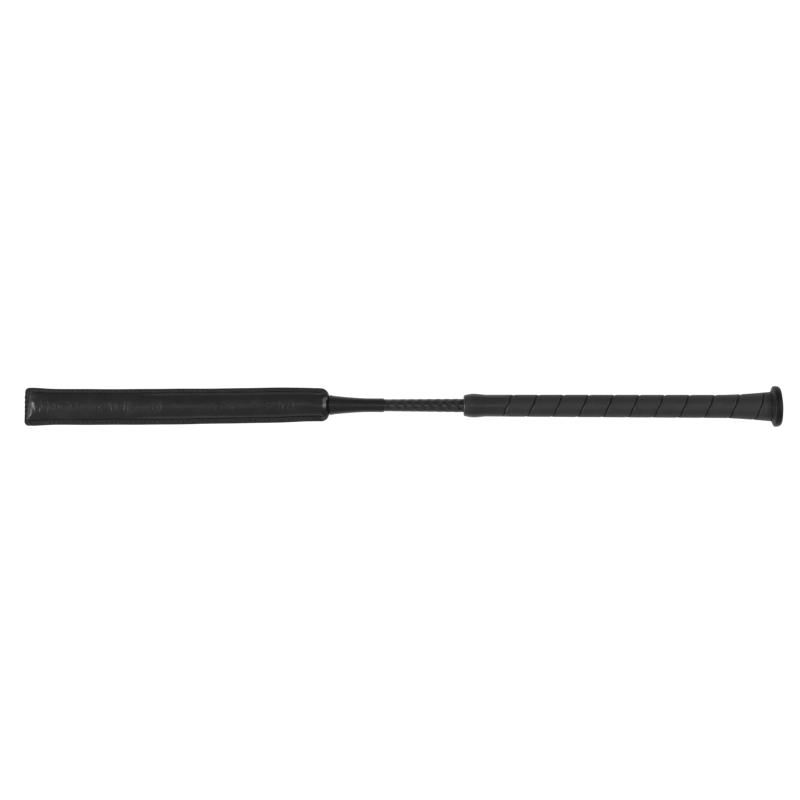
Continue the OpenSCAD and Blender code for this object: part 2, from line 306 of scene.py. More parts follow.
def place(tree, carried=False):
    """Coordinates in millimetres: a built piece's rest place, or a carried-over CAD node's own."""
    if not carried:
        return node(tree, "Attribute", attribute_name="rest").outputs["Vector"]
    own = node(tree, "TexCoord").outputs["Object"]
    return node(tree, "VectorMath", {0: own, "Scale": 1 / MM}, operation="SCALE").outputs[0]


def value_of(tree, name):
    return node(tree, "Attribute", attribute_name=name).outputs["Fac"]


def noise(tree, coordinates, scale, detail=3.0, roughness=0.55):
    return node(
        tree, "TexNoise",
        {"Vector": coordinates, "Scale": scale, "Detail": detail, "Roughness": roughness},
    ).outputs["Fac"]


def cells(tree, coordinates, scale, feature="F1"):
    made = node(tree, "TexVoronoi", {"Vector": coordinates, "Scale": scale}, feature=feature)
    return made.outputs["Distance"]


def calc(tree, operation, a, b=0.0, c=0.0):
    return node(tree, "Math", {0: a, 1: b, 2: c}, operation=operation).outputs[0]


def times_plus(tree, value, times, plus):
    return calc(tree, "MULTIPLY_ADD", value, times, plus)


def remap(tree, value, low, high, to_low, to_high):
    return node(
        tree, "MapRange",
        {"Value": value, "From Min": low, "From Max": high, "To Min": to_low, "To Max": to_high},
    ).outputs[0]


def colours(tree, factor, a, b):
    """A colour between a and b, each a colour or another node's output."""
    a, b = (c if isinstance(c, bpy.types.NodeSocket) else (*c, 1) for c in (a, b))
    return node(tree, "Mix", {0: factor, 6: a, 7: b}, data_type="RGBA").outputs[2]


def set_input(shader, name, value):
    shader.id_data.links.new(value, shader.inputs[name])


def add_bump(shader, height, depth):
    """Bump of so many millimetres on the shader's normal."""
    bump = node(shader.id_data, "Bump", {"Height": height, "Distance": depth * MM})
    set_input(shader, "Normal", bump.outputs[0])


def shade(colour, amount):
    """A darker or a lighter version of a colour."""
    return tuple(c * amount for c in colour)


def paint(shader, factor, colour, dark, light=1.0):
    """A base colour that varies between a dark and a light version of one colour."""
    varied = colours(shader.id_data, factor, shade(colour, dark), shade(colour, light))
    set_input(shader, "Base Color", varied)


def leather(name, colour):
    """Smooth leather: pebbled grain, uneven gloss, and painted shade that makes it
    dark and dull down in its seams.
    """
    material, tree, shader = start_material(name)
    at = place(tree)
    grain = cells(tree, at, 1.7, "SMOOTH_F1")
    fine = noise(tree, at, 3.2, 4)
    patches = noise(tree, at, 0.06, 3)
    # painted shade: the seam mask darkens the colour and turns down the reflection
    shaded_seam = value_of(tree, "shaded_seam")
    hide = colours(tree, patches, shade(colour, 0.75), shade(colour, 1.35))
    set_input(shader, "Base Color", colours(tree, shaded_seam, hide, shade(colour, 0.3)))
    set_input(shader, "Specular IOR Level", remap(tree, shaded_seam, 0, 1, 0.32, 0.1))
    blur = times_plus(tree, patches, 0.1, times_plus(tree, fine, 0.12, 0.25))
    set_input(shader, "Roughness", blur)
    add_bump(shader, times_plus(tree, fine, 0.35, grain), 0.045)
    return material


def rubber(name, colour, rough, collar=0, gloss=0.4, bloom=0.0):
    """Moulded rubber: matte, sandy and faintly mottled. With a collar, it is smooth up to a place
    along X and its groove gets painted shade, dark and less glossy. Bloom is a pale film, which
    shows where the skin turns away."""
    material, tree, shader = start_material(
        name, Specular_IOR_Level=gloss, Sheen_Weight=bloom, Sheen_Roughness=0.35
    )
    at = place(tree)
    sand = noise(tree, at, 4.5, 2, 0.7)
    patches = noise(tree, at, 0.09, 3)
    skin = colours(tree, patches, shade(colour, 0.8), shade(colour, 1.25))
    blur = times_plus(tree, patches, 0.08, times_plus(tree, sand, 0.12, rough - 0.1))
    if collar:
        x = node(tree, "SeparateXYZ", {"Vector": at}).outputs["X"]
        textured = remap(tree, x, collar, collar + 4, 0, 1)
        blur = times_plus(tree, textured, 0.2, calc(tree, "SUBTRACT", blur, 0.2))
        sand = calc(tree, "MULTIPLY", sand, times_plus(tree, textured, 0.8, 0.2))
        # painted shade: the groove is darkened and made less reflective
        groove_shade = calc(tree, "MULTIPLY", value_of(tree, "groove"), 0.9)
        skin = colours(tree, groove_shade, skin, shade(colour, 0.15))
        set_input(shader, "Specular IOR Level", remap(tree, groove_shade, 0, 0.9, gloss, gloss * 0.3))
    set_input(shader, "Base Color", skin)
    set_input(shader, "Roughness", blur)
    add_bump(shader, sand, 0.03)
    return material


def yarn(name, colour, rough, filaments=7, gloss=0.5, depth=0.03, twist=0.9, shade_dips=False):
    """Filaments along a thread or slanting round it. It can have painted shade: less reflection
    where its ribbon dips under the others.
    """
    material, tree, shader = start_material(name, Specular_IOR_Level=gloss)
    round_it = calc(tree, "MULTIPLY", value_of(tree, "across"), filaments)
    slant = times_plus(tree, value_of(tree, "along"), twist, round_it)
    ridge = calc(tree, "SINE", calc(tree, "MULTIPLY", slant, TAU))
    patches = noise(tree, place(tree), 0.5, 2)
    paint(shader, patches, colour, 0.7, 1.3)
    set_input(shader, "Roughness", times_plus(tree, patches, 0.2, rough - 0.1))
    if shade_dips:
        # painted shade: the reflection fades where the ribbon dips
        shine = remap(tree, value_of(tree, "raised"), 0.1, 0.9, 0.3, gloss)
        set_input(shader, "Specular IOR Level", shine)
    add_bump(shader, ridge, depth)
    return material


def plain(
    name, colour, dark, tone, depth, marks=None, pores=0, rough=None, carried=False, **constants
):
    """One noise in the colour, and a bump of other marks, of pores or of that noise.
    Tone and marks are (scale along each axis, detail, roughness)."""
    material, tree, shader = start_material(name, **constants)
    at = place(tree, carried)

    def streaks(scale, detail, roughness=0.55):
        stretched = node(tree, "Mapping", {"Vector": at, "Scale": scale}).outputs[0]
        return noise(tree, stretched, 1.0, detail, roughness)

    varied = streaks(*tone)
    paint(shader, varied, colour, dark)
    if rough is not None:
        set_input(shader, "Roughness", times_plus(tree, varied, 0.25, rough))
    height = streaks(*marks) if marks else cells(tree, at, pores) if pores else varied
    add_bump(shader, height, depth)
    return material


CREPE = ((3.0, 3.0, 3.0), 4), 0.12, ((2.4, 0.25, 0.25), 3)   # tone, depth and marks for plain()
FLOW_MARKS = ((0.25, 0.25, 0.25), 5, 0.6), 0.03              # tone and depth


# ---- Finishing a piece ----


def cover(piece, material):
    piece.data.materials.clear()
    piece.data.materials.append(material)


def finish_piece(piece, material, cad_names, move):
    """Gives a built piece its material, hides the CAD nodes that it stands for, and passes it to
    move.
    """
    cover(piece, material)
    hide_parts(*cad_names)
    move(piece)


def on_handle(piece):
    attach(piece, "handle")


def on_shaft(piece):
    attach(piece, "shaft")


def bend_shaft(piece):
    bend(piece)


def bend_flap(piece):
    bend(piece)


def bend(piece):
    """Bakes a piece's transform into its mesh."""
    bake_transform(piece)


# ---- Grip ----

GRIP_FRONT_R, GRIP_REAR_R = 9.2, 9.75
MOUTH_LENGTH, MOUTH_PEAK, MOUTH_BULGE, MOUTH_LIP = 20.0, 0.42, 0.8, 0.6
MOUTH_BORE_R, MOUTH_ROUND = 5.8, 1.1
FLARE_LENGTH, FLARE_POWER = 42.0, 1.55
GROOVE_PITCH, GROOVE_MARGIN, GROOVE_STOP = 21.1, 31.0, 4.0
GROOVE_DEPTH = 0.74
RUN_OUT, RUN_IN = 0.02, 0.1      # turns outside and inside its ends where the groove fades
COLLAR_END = 3.0                 # past the groove's first turn
PLAIN_SKIN = 1.5                 # between the grooved mesh and the rolled mouth, or the cap
FRONT_GAP, REAR_GAP = 0.8, 0.7   # filled by triangles
CAP_TILT = math.radians(2.3)     # the cap sits a little askew, and the grip's end follows it
AROUND = 72

# Distance from the groove's middle, and depth there as a part of the whole
GROOVE_SECTION = [
    (-7.5, 0.0), (-5.0, 0.0), (-3.0, 0.0), (-1.9, 0.0), (-1.25, 0.03), (-0.9, 0.14), (-0.6, 0.62),
    (-0.3, 1.0), (0.35, 1.0), (0.7, 0.52), (1.05, 0.24), (1.6, 0.1), (2.4, 0.03), (3.5, 0.0),
    (5.5, 0.0), (8.0, 0.0),
]
REAR_EDGE = [(-0.3, -0.05), (0.0, -0.3)]             # from the cap and the flare's radius
MOUTH_EDGE = [(0.5, 0.0), (0.1, 0.35), (0.0, 0.8)]   # from the mouth and its bore's radius


def grip_radius(x):
    """Radius of the grip's skin, without its groove: a taper, a rolled mouth and a flare."""
    mouth_end, flare_start = mouth_x + MOUTH_LENGTH, cap_x - FLARE_LENGTH
    peak = mouth_x + MOUTH_LENGTH * MOUTH_PEAK
    taper = mix(GRIP_FRONT_R, GRIP_REAR_R, part(mouth_end, flare_start, x))
    rise = mix(-MOUTH_LIP, MOUTH_BULGE, np.sin(math.pi / 2 * part(mouth_x, peak, x)))
    fall = MOUTH_BULGE * (1 + np.cos(math.pi * part(peak, mouth_end, x))) / 2
    flared = (np.clip(x - flare_start, 0, None) / FLARE_LENGTH) ** FLARE_POWER
    return taper + np.where(x < peak, rise, fall) + (flare_r - GRIP_REAR_R) * flared


def open_loops(faces):
    """The loops of edges that only one face has, each as a list of points in order."""
    edges = {edge for face in faces for edge in zip(face, face[1:] + face[:1])}
    following = {a: b for a, b in edges if (b, a) not in edges}
    loops = []
    while following:
        loop = [next(iter(following))]
        while (after := following.pop(loop[-1])) != loop[0]:
            loop.append(after)
        loops.append(loop)
    return loops


def zip_loops(first, second, angle):
    """Triangles between two loops of points round the axis. angle(point) is where round it."""
    def ordered(loop):
        steps = [(angle(b) - angle(a)) % TAU for a, b in zip(loop, loop[1:])]
        if sum(step > math.pi for step in steps) > len(loop) / 2:
            loop = loop[::-1]
        start = min(range(len(loop)), key=lambda i: (angle(loop[i]) % TAU, -i))
        loop = loop[start:] + loop[:start]
        places = [angle(loop[0]) % TAU]
        for before, point in zip(loop, loop[1:]):
            step = (angle(point) - angle(before) + math.pi) % TAU - math.pi
            places.append(places[-1] + step)
        return loop + loop[:1], places + [places[0] + TAU]

    (a, a_at), (b, b_at) = ordered(first), ordered(second)
    i = k = 0
    faces = []
    while i < len(a) - 1 or k < len(b) - 1:
        a_left, b_left = i < len(a) - 1, k < len(b) - 1
        if not b_left or (a_left and a_at[i + 1] + a_at[i] <= b_at[k + 1] + b_at[k]):
            faces.append((a[i], a[i + 1], b[k]))
            i += 1
        else:
            faces.append((a[i], b[k + 1], b[k]))
            k += 1
    return faces


def grooved_skin(low_x, high_x):
    """Points, groove depths and faces of the skin between two places, in rows along the groove."""
    rows = len(GROOVE_SECTION)
    groove_from = mouth_x + GROOVE_MARGIN
    last_turn = (cap_x - GROOVE_STOP - groove_from) / GROOVE_PITCH
    first, count = -2, int(last_turn) + 5   # enough turns to reach past both places
    points, depths, index, faces = [], [], {}, []
    for column in range(AROUND):
        for m in range(count * rows):
            turn_at = first + m // rows + column / AROUND
            offset, depth = GROOVE_SECTION[m % rows]
            x = groove_from + GROOVE_PITCH * turn_at + offset
            if not low_x <= x <= high_x:
                continue
            started = smooth(-RUN_OUT, RUN_IN, turn_at)
            fade = started * (1 - smooth(last_turn - RUN_IN, last_turn + RUN_OUT, turn_at))
            r = float(grip_radius(x)) - GROOVE_DEPTH * depth * fade
            a = TAU * column / AROUND
            index[column, m] = len(points)
            points.append((x, -r * math.cos(a), axis_z + r * math.sin(a)))
            depths.append(depth * fade)
    for column in range(AROUND):
        after, shift = (column + 1, 0) if column + 1 < AROUND else (0, rows)
        for m in range(count * rows):
            corners = [(column, m), (column, m + 1), (after, m + 1 + shift), (after, m + shift)]
            if all(corner in index for corner in corners):
                faces.append(tuple(index[corner] for corner in corners))
    used, faces = used_only(faces)
    return [points[i] for i in used], [depths[i] for i in used], faces


def make_grip():
    """The rubber grip. Its mesh follows the spiral groove, whose edges are crisp."""
    low_x, high_x = mouth_x + MOUTH_LENGTH + PLAIN_SKIN, cap_x - PLAIN_SKIN
    points, depths, faces = grooved_skin(low_x, high_x)
    loops = sorted(open_loops(faces), key=lambda loop: np.mean([points[i][0] for i in loop]))

    corner_r = float(grip_radius(mouth_x + MOUTH_ROUND))
    corner = [
        (mouth_x + MOUTH_ROUND * (1 - math.cos(t)), corner_r - MOUTH_ROUND * (1 - math.sin(t)))
        for t in np.linspace(0, math.pi / 2, 7)
    ]
    front = np.linspace(mouth_x + MOUTH_ROUND, low_x - FRONT_GAP, 24)[1:]
    skin = [(x, float(grip_radius(x))) for x in front]
    rear_x = high_x + REAR_GAP
    inside = [
        (rear_x, float(grip_radius(rear_x))), *((cap_x + x, flare_r + r) for x, r in REAR_EDGE),
        (cap_x, TAPE_REAR_R), (core_x, TAPE_FRONT_R), (core_x, MOUTH_BORE_R),
        *((mouth_x + x, MOUTH_BORE_R + r) for x, r in MOUTH_EDGE),
    ]
    outline = finer(inside, 12) + corner + skin
    base = len(points)
    points = np.concatenate([np.array(points), turn(outline, AROUND, TAU / AROUND / 2)])
    near_cap = smooth(cap_x - FLARE_LENGTH / 2, cap_x, points[:, 0])
    points[:, 0] -= math.tan(CAP_TILT) * points[:, 1] * near_cap
    faces += shifted(ring_faces(len(outline), AROUND), base)
    rear_ring, front_ring = shifted(end_faces(len(outline), AROUND), base)

    def angle(i):
        return math.atan2(points[i][2] - axis_z, -points[i][1])

    faces += zip_loops(front_ring, loops[0], angle)
    faces += zip_loops(loops[1], rear_ring, angle)
    piece = add_mesh("rubber_grip_moulded", points, faces, 50)
    add_values(piece, "groove", depths + [0.0] * (len(points) - len(depths)))
    return piece


grip_skin = rubber(
    "grip_rubber_skin", (0.025, 0.0245, 0.0245), 0.55, collar=mouth_x + GROOVE_MARGIN + COLLAR_END
)
finish_piece(make_grip(), grip_skin, ["rubber_grip"], on_handle)


# ---- End cap ----

CAP_HEIGHT = 10.2
PLUG_BORE_R, PLUG_HOLE_R, FLANGE = 4.8, 0.5, 2.4

# Outside of the cap: (distance from the grip's end, radius) of its cone and its rim
CAP_CONE = [(0.55, 12.6), (0.95, 13.2), (1.45, 14.3), (1.9, 15.4), (2.35, 16.3)]
CAP_RIM = [
    (2.7, 16.85), (3.3, 17.1), (4.2, 17.15), (5.4, 17.1), (6.4, 16.9), (7.3, 16.45), (8.0, 15.8),
    (8.35, 15.2),
]
DOME_STEP = [(-0.25, -0.5), (-0.15, -0.75)]   # x and radius from the rim's last point
DOME_INSET, DOME_POWER, DOME_RINGS, DOME_MIDDLE = 1.0, 0.9, 16, 0.03
CAP_AROUND = 96


def make_cap():
    """The mushroom cap: coned under its rim, domed inside a narrow step, hollow for its plug."""
    plug_end = span("cap_plug")[1]
    flange_r, flange_x = height_of("cap_plug"), plug_end - FLANGE
    inside = [
        (plug_end, PLUG_HOLE_R), (plug_end, flange_r), (flange_x, flange_r),
        (flange_x, PLUG_BORE_R), (cap_x, PLUG_BORE_R),
    ]
    step_x, step_r = CAP_RIM[-1]
    dome = [(step_x + x, step_r + r) for x, r in DOME_STEP]
    for t in np.linspace(1, DOME_MIDDLE, DOME_RINGS):
        rise = (CAP_HEIGHT - step_x) * (1 - t ** 2) ** DOME_POWER
        dome.append((step_x + rise, (step_r - DOME_INSET) * t))
    outside = [(cap_x + x, r) for x, r in [(0, flare_r), *CAP_CONE, *CAP_RIM, *dome]]
    rings = len(inside + outside)
    shell = turn(inside + outside, CAP_AROUND)
    tilted = shell[len(inside) * CAP_AROUND:]
    x, y = tilted[:, 0] - cap_x, tilted[:, 1].copy()
    tilted[:, 0] = cap_x + x * math.cos(CAP_TILT) - y * math.sin(CAP_TILT)
    tilted[:, 1] = y * math.cos(CAP_TILT) + x * math.sin(CAP_TILT)
    return add_mesh(
        "mushroom_cap", shell, ring_faces(rings, CAP_AROUND) + end_faces(rings, CAP_AROUND), 45
    )


cap_skin = rubber("cap_rubber_skin", (0.01, 0.01, 0.01), 0.5, gloss=0.13, bloom=0.2)
finish_piece(make_cap(), cap_skin, ["end_cap"], on_handle)


# ---- Rod, filler, braid, boot and bindings ----

BRAID_BOOT_R = 5.1
BRAID_WALL = 0.9
MOUTH_OVERLAP = 1.8   # the braid goes on into the grip, up to the binding there
BOOT_FRONT_R, BOOT_STRAIGHT, BOOT_CURVE, BOOT_SKIN = 5.8, 15.1, 1.25, 0.3
BOOT_FLARE, BOOT_FLARE_LENGTH = 0.6, 3.5   # its root opens out over the leather's neck
BOOT_EDGE, BOOT_ROUND, BOOT_AROUND = 0.3, 0.08, 64
NECK_ROOT_R, NECK_TIP_R, NECK_THREAD = 5.9, 4.9, 0.6
BRAID_THREAD = 0.8    # of the binding on the braid's end
ROD_TIP_R, ROD_CHAMFER, ROD_AROUND = 1.8, 0.4, 48
STATION = 2.0         # between the rings of a sleeve
SNUG, THREAD_ROOM = 0.02, 0.07   # between sleeves that touch, and over bound thread
FILLER_AROUND, FILLER_RIBS, FILLER_RIB, FILLER_R = 96, 24, 0.12, 4.5


def braid_radius(x):
    """Outside of the braid."""
    return mix(braid_mouth_r, BRAID_BOOT_R, np.clip((mouth_x - x) / (mouth_x - boot_x), 0, 2))


def under_braid(x):
    return braid_radius(x) - BRAID_WALL


def rod_radius(x):
    return mix(rod_r, ROD_TIP_R, part(mouth_x, fold_x, x))


def neck_radius(x):
    """Gathered leather under the boot."""
    return mix(NECK_ROOT_R, NECK_TIP_R, (x - neck_x) / (neck_end_x - neck_x))


def make_rod():
    outline = finer([
        (rod_tip_x, ROD_TIP_R - ROD_CHAMFER), (rod_tip_x + ROD_CHAMFER, ROD_TIP_R),
        (mouth_x, rod_r), (rod_butt_x - ROD_CHAMFER, rod_r), (rod_butt_x, rod_r - ROD_CHAMFER),
    ], STATION)
    size = len(outline), ROD_AROUND
    faces = ring_faces(*size) + end_faces(*size)
    return add_mesh("tapered_rod", turn(outline, ROD_AROUND), faces)


def make_filler():
    """Yarn laid along the rod under the braid, as a ribbed sleeve."""
    ends = ((filler_back_x, filler_back_x), (mouth_x + MOUTH_OVERLAP, mouth_x))
    outline = finer([(x, under_braid(at) - FILLER_RIB) for x, at in ends], STATION)
    inner = [(x, rod_radius(x) + SNUG) for x, _ in reversed(outline)]
    points = turn(outline + inner, FILLER_AROUND)
    a = TAU * FILLER_RIBS * np.arange(FILLER_AROUND) / FILLER_AROUND
    lift = 1 + FILLER_RIB * np.cos(a) / FILLER_R
    skin = points[:len(outline) * FILLER_AROUND].reshape(len(outline), FILLER_AROUND, 3)
    skin[:, :, 1] *= lift
    skin[:, :, 2] = axis_z + (skin[:, :, 2] - axis_z) * lift
    faces = ring_faces(2 * len(outline), FILLER_AROUND, closed=True)
    return add_mesh("filler_yarn_layer", points, faces)


CARRIERS = 6           # in each direction
BRAID_PITCH, BRAID_STEP = 44.0, 0.6
RIBBON_WIDTH, RIBBON_HEIGHT, RIBBON_SIDES = 3.9, 0.55, 16
RIBBON_FLATNESS, WAVE_FLATNESS = 0.5, 0.7   # powers below 1 flatten a sine's top
BRAID_WAVE = 0.19      # how far a ribbon rises and dips


def flattened(wave, power):
    return np.sign(wave) * np.abs(wave) ** power


def make_braid():
    """Two sets of flat nylon ribbons round the shaft that cross two over, two under."""
    x = np.arange(braid_back_x, mouth_x + MOUTH_OVERLAP, BRAID_STEP)[:, None]
    t = TAU * np.arange(RIBBON_SIDES) / RIBBON_SIDES
    across, up = np.cos(t), flattened(np.sin(t), RIBBON_FLATNESS)
    middle = braid_radius(x) - BRAID_WALL / 2
    slant = np.arctan(TAU * middle / BRAID_PITCH)
    spread = across * RIBBON_WIDTH / 2 / np.cos(slant) / middle
    tubes, raised = [], []
    for way in (1, -1):
        turned = way * TAU * x / BRAID_PITCH
        for carrier in range(CARRIERS):
            a = turned + TAU * carrier / CARRIERS + spread
            crossed = (a + turned) * CARRIERS / TAU
            wave = way * np.cos(math.pi / 2 * (crossed + carrier - 0.5))
            r = middle + flattened(wave, WAVE_FLATNESS) * BRAID_WAVE + up * RIBBON_HEIGHT / 2
            tubes.append(np.stack([x + 0 * a, -r * np.cos(a), axis_z + r * np.sin(a)], -1))
            raised.append((wave * (1 - across ** 4)).ravel())
    piece = add_tubes("braided_nylon", tubes)
    # how far each ribbon rises or dips, which sets the nylon's painted shade in its dips
    add_values(piece, "raised", np.concatenate(raised))
    return piece


def boot_radius(x):
    """Outside of the boot: a hollow taper, then a straight stretch that hugs the braid."""
    t = part(neck_x, boot_x - BOOT_STRAIGHT, x)
    flare = BOOT_FLARE * np.exp(-np.abs(x - neck_x) / BOOT_FLARE_LENGTH)
    return mix(boot_root_r + BOOT_SKIN, BOOT_FRONT_R, 1 - (1 - t) ** BOOT_CURVE) + flare


def make_boot():
    stations = np.linspace(neck_x + BOOT_EDGE, boot_x - BOOT_EDGE, 44)
    outline = [(x, boot_radius(x)) for x in stations]
    outline += [
        (boot_x - BOOT_ROUND, BOOT_FRONT_R - BOOT_ROUND), (boot_x, BOOT_FRONT_R - BOOT_EDGE),
        (boot_x, BRAID_BOOT_R + SNUG), (neck_end_x, braid_radius(neck_end_x) + SNUG),
        (neck_end_x, NECK_TIP_R + NECK_THREAD + THREAD_ROOM),
        (neck_x, NECK_ROOT_R + NECK_THREAD + THREAD_ROOM), (neck_x, boot_root_r - BOOT_EDGE),
    ]
    outline = finer([*outline, outline[0]], STATION)[:-1]
    faces = ring_faces(len(outline), BOOT_AROUND, closed=True)
    return add_mesh("tapered_boot", turn(outline, BOOT_AROUND), faces)


# the nylon's reflection carries painted shade where its ribbons dip
nylon = yarn(
    "black_nylon", (0.019, 0.019, 0.02), 0.3,
    filaments=18, gloss=1.0, depth=0.012, twist=0, shade_dips=True,
)
filler_yarn = plain("filler_yarn", (0.5, 0.49, 0.46), 0.82, *CREPE, Roughness=0.9)
rod_glass = plain(
    "rod_fibreglass", (0.72, 0.7, 0.52), 0.7, ((0.04, 2.2, 2.2), 4, 0.6), 0.02,
    Roughness=0.22, Coat_Weight=0.4, Coat_Roughness=0.12,
)
boot_skin = rubber("boot_rubber_skin", (0.013, 0.013, 0.014), 0.34)
black_thread = yarn("waxed_thread", (0.013, 0.013, 0.014), 0.62, filaments=4, gloss=0.3)
finish_piece(make_braid(), nylon, ["braided_cover"], bend_shaft)
finish_piece(make_filler(), filler_yarn, ["shaft_filler"], bend_shaft)
finish_piece(make_rod(), rod_glass, ["shaft_rod"], bend_shaft)
finish_piece(make_boot(), boot_skin, ["neck_boot"], on_shaft)
for name, cad_name, seat, thread in (
    ("braid_end_binding", "lower_braid_binding", under_braid, BRAID_THREAD),
    ("neck_thread_binding", "neck_binding", neck_radius, NECK_THREAD),
):
    wound = winding(name, cad_name, seat, thread)
    finish_piece(wound, black_thread, [cad_name], on_shaft)


# ---- Padded end ----

LEATHER = 1.5
BORDER_TOP, BORDER_BOTTOM, BORDER_NECK = 3.4, 4.4, 0.5
CROWN_HALF, CROWN_NECK = 4.0, 2.6
NECK_HALF = 13.8
SHOULDER_R, TIP_R = 7.0, 3.3
TIP_BORDER, TIP_SKEW = 1.2, 4.4
TIP_SPREAD, SPREAD_AT, SPREAD_LENGTH = 0.95, 6, 12   # it widens again just before its tip
TIP_SLOPE, FLATTER_SLOPE = 5.0, 14.0      # of the padding at the tip, on its two halves
SIDE_POWER, CORNER_POWER = 1.55, 5
SEAM_WIDTH, SEAM_SHADE = 0.8, (0.6, 0.2)   # painted shade along the seams, stronger along the wider border's seam, which is also pulled deeper
TIP_ASKEW = 0.6       # the tip is cut a little askew
FOLD_TAPER = 26.0
STITCH_PITCH, STITCH_LENGTH, STITCH_THREAD = 4.0, 2.9, 0.62
HANG, HANG_FROM, HANG_OVER = 2.6, 0.08, 0.75   # to one side, and the parts of its length that do so
NECK_SHIFT, NECK_SHIFT_OVER = 0.3, 0.04        # to the other side
UNEVEN, BULGE = 0.1, 0.22                      # of the long edges


def centre_line(x):
    """Sideways place of the padded end's middle: the flap hangs a little to one side."""
    t = (neck_x - x) / (neck_x - tip_x)
    hang = HANG * np.sin(math.pi / 2 * np.clip((t - HANG_FROM) / HANG_OVER, 0, 1))
    return NECK_SHIFT * smooth(0, NECK_SHIFT_OVER, t) - hang


def half_width(x):
    """Half width of the padded end, with round corners; under the boot, the gathered neck."""
    t = part(tip_x, neck_x, x)
    spread = TIP_SPREAD * np.exp(-((x - tip_x - SPREAD_AT) / SPREAD_LENGTH) ** 2)
    wide = mix(pad_half, NECK_HALF, smooth(0.78, 1.02, t)) + spread
    wide = wide + UNEVEN * np.sin(x / 9.0) * np.sin(x / 23.0) + BULGE * smooth(0.6, 0.45, t)
    into_tip = np.clip(TIP_R - (x - tip_x), 0, TIP_R)
    wide = wide - TIP_R + np.sqrt(TIP_R ** 2 - into_tip ** 2)
    into_neck = np.clip(x - (neck_x - SHOULDER_R), 0, SHOULDER_R)
    wide = wide - SHOULDER_R + np.sqrt(SHOULDER_R ** 2 - into_neck ** 2)
    return np.where(x > neck_x, neck_radius(x), np.maximum(wide, NECK_ROOT_R))


TIP_PLACES = [0, 0.06, 0.2, 0.42, 0.75, 1.15, 1.6, 2.1, 2.7, 3.3]   # from the tip


def pad_columns():
    """Places along the padded end: closer together at the tip, the shoulders and the neck."""
    tip = [tip_x + d for d in TIP_PLACES]
    slope = list(np.arange(tip_x + 3.8, tip_x + 13, 0.5))
    long = list(np.arange(slope[-1] + 0.45, neck_x - SHOULDER_R - 6, 0.45))
    shoulder = list(np.arange(long[-1] + 0.5, neck_x - 0.9, 0.4))
    gathered = np.arange(neck_x + 1, neck_end_x, 1.2)
    neck = [neck_x - 0.55, neck_x - 0.25, neck_x, *gathered, neck_end_x]
    return np.array(tip + slope + long + shoulder + neck)


BORDER_CELLS, SLOPE_CELLS, CROWN_CELLS = 5, 11, 10
BORDER_CROWDING, SLOPE_CROWDING = 1.6, 1.25   # lines crowd towards the edge and the seam


def pad_lines(x):
    """Widths of the lower and the upper border, and half the crown's. All close up at the neck."""
    at_neck = smooth(neck_x - SHOULDER_R - 1, neck_x - 0.5, x)
    ends = (BORDER_BOTTOM, BORDER_NECK), (BORDER_TOP, BORDER_NECK), (CROWN_HALF, CROWN_NECK)
    return [mix(*widths, at_neck) for widths in ends]


def pad_grid(x):
    """Sideways places for each column, with lines along the seams and along the crown's edges."""
    wide = half_width(x)
    lower, upper, crown = pad_lines(x)
    slope = np.arange(SLOPE_CELLS) / SLOPE_CELLS
    rows = [-wide + lower * t for t in (np.arange(BORDER_CELLS) / BORDER_CELLS) ** BORDER_CROWDING]
    rows += [mix(-wide + lower, -crown, t ** SLOPE_CROWDING) for t in slope]
    rows += [mix(-crown, crown, t) for t in np.arange(CROWN_CELLS) / CROWN_CELLS]
    rows += [mix(wide - upper, crown, t ** SLOPE_CROWDING) for t in 1 - slope]
    for t in 1 - np.arange(BORDER_CELLS + 1) / BORDER_CELLS:
        rows.append(wide - upper * max(t, 0) ** BORDER_CROWDING)
    return np.stack(rows, 1)


def crown_height(x):
    """Height of the crown over the middle plane: full over the rod, lower past the fold."""
    return mix(flap_top, pad_top, smooth(fold_x - FOLD_TAPER, fold_x + FOLD_TAPER / 2, x))


def across_pad(y):
    """0 at the padded end's lower edge and 1 at its upper one."""
    return (y / pad_half + 1) / 2


def pad_fill(x, y):
    """How far the padding has risen: 0 on the borders, 1 on the crown."""
    wide = half_width(x)
    lower, upper, crown = pad_lines(x)
    border = np.where(y < 0, lower, upper)
    side = np.clip((wide - border - np.abs(y)) / (wide - border - crown), 0, 1)
    foot = tip_x + TIP_BORDER + TIP_SKEW * across_pad(y)
    tip = np.clip((x - foot) / mix(TIP_SLOPE, FLATTER_SLOPE, smooth(4, 9, y)), 0, 1)
    left = ((1 - side) ** CORNER_POWER + (1 - tip) ** CORNER_POWER) ** (1 / CORNER_POWER)
    return np.clip(1 - left, 0, 1)


def pad_rise(x, y):
    """Rounded height of the padding's sides: 0 on the borders, 1 on the crown."""
    return (1 - (1 - pad_fill(x, y)) ** SIDE_POWER) ** (1 / SIDE_POWER)


CREASED = [(7, 48), (60, 96), (106, 116), (152, 178), (192, 230)]   # stretches, from the tip
CREASES_PER_MM = 0.8
DEEPEST_CREASE = 0.34


def wrinkles(seed):
    """Short fine creases across the crown: (x, y, slant, half length, width, depth)."""
    draw = random.Random(seed)
    made = []
    for start, end in CREASED:
        for _ in range(int((end - start) * CREASES_PER_MM)):
            x = tip_x + draw.uniform(start, end)
            made.append((
                x, draw.uniform(-2.6, 3.4), draw.uniform(-0.4, 0.5), draw.uniform(1.2, 3.4),
                draw.uniform(0.5, 0.7), draw.uniform(0.2, 0.45) * draw.choice((1, 1, 1, -0.4)),
            ))
    return made


def soft_noise(x, y, seed, length, waves=14):
    """A smooth random surface between about -1 and 1, with waves about so long."""
    draw = random.Random(seed)
    total = np.zeros_like(x)
    for _ in range(waves):
        a, phase = draw.uniform(0, TAU), draw.uniform(0, TAU)
        k = TAU / (length * draw.uniform(0.7, 1.8))
        total = total + np.cos(k * (x * math.cos(a) * 0.75 + y * math.sin(a) * 1.3) + phase)
    return total / math.sqrt(waves) / 1.3


def leather_seat(x, y):
    """Height of the leather's smooth seat on its padding."""
    return LEATHER + (crown_height(x) - LEATHER) * pad_rise(x, y)


